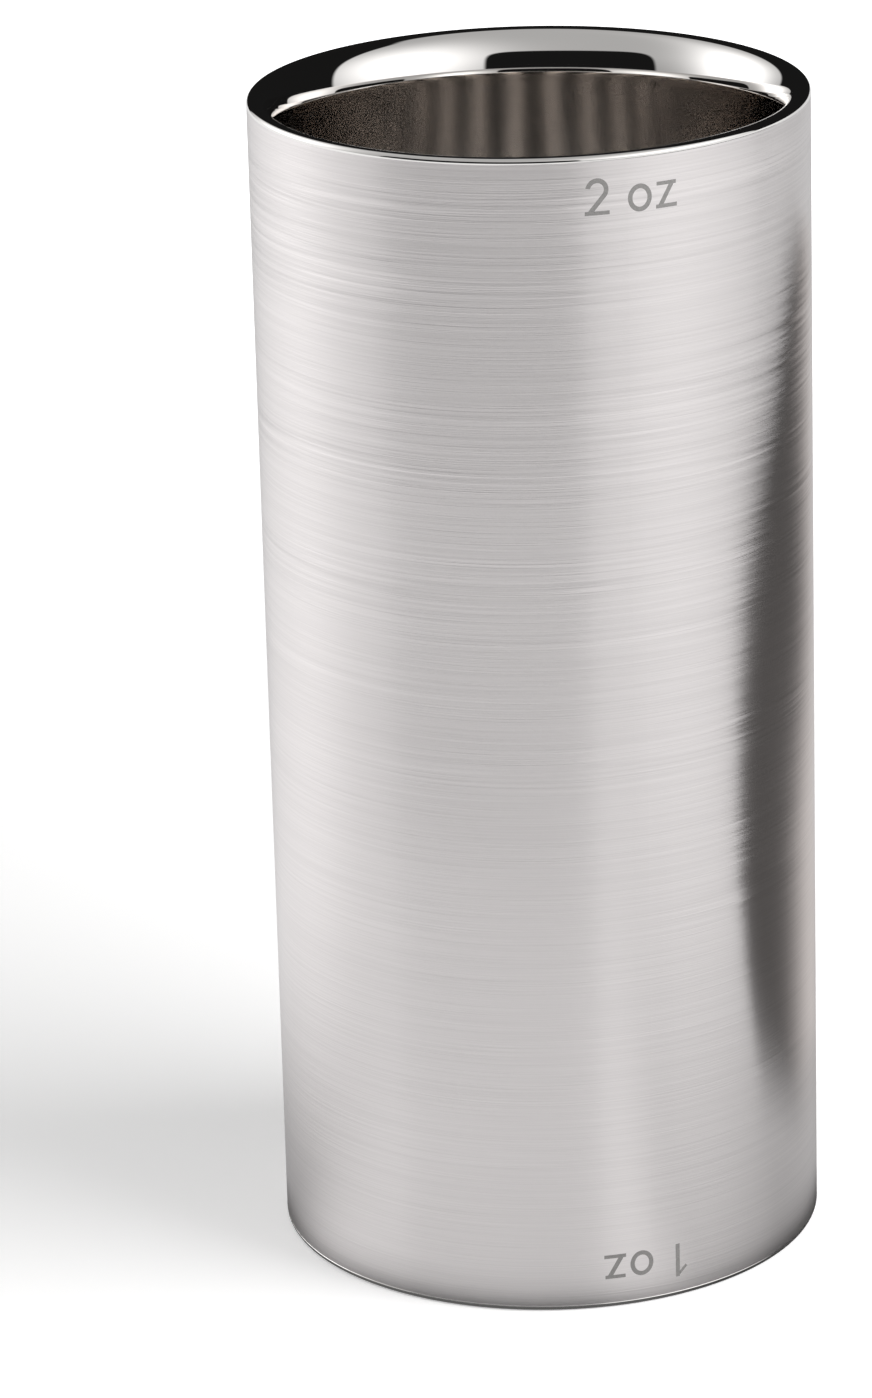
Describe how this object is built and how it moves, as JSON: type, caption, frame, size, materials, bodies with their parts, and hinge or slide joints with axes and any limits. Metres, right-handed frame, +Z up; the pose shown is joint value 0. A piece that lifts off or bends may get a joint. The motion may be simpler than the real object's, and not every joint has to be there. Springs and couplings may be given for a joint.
{
  "type": "bar jigger",
  "caption": "Straight cylindrical bar jigger: a brushed steel tube with a polished measuring cup let into each end, deep above and shallow below.",
  "frame": {"origin": "centre of the ring that the jigger stands on, at the one ounce end", "axes": "+Z up along the tube's axis towards the two ounce end, -Y the front, with the capacity marks turned a little from it towards +X"},
  "size_m": [0.048, 0.048, 0.103],
  "materials": {
    "brushed_steel": "stainless steel, brushed round the tube",
    "polished_steel": "stainless steel, drawn and mirror polished",
    "engraving": "matte grey laser engraving"
  },
  "bodies": {
    "root": {"outer_sleeve": "brushed_steel", "two_ounce_cup": "polished_steel", "one_ounce_cup": "polished_steel", "two_ounce_mark": "engraving", "one_ounce_mark": "engraving"}
  },
  "joints": []
}
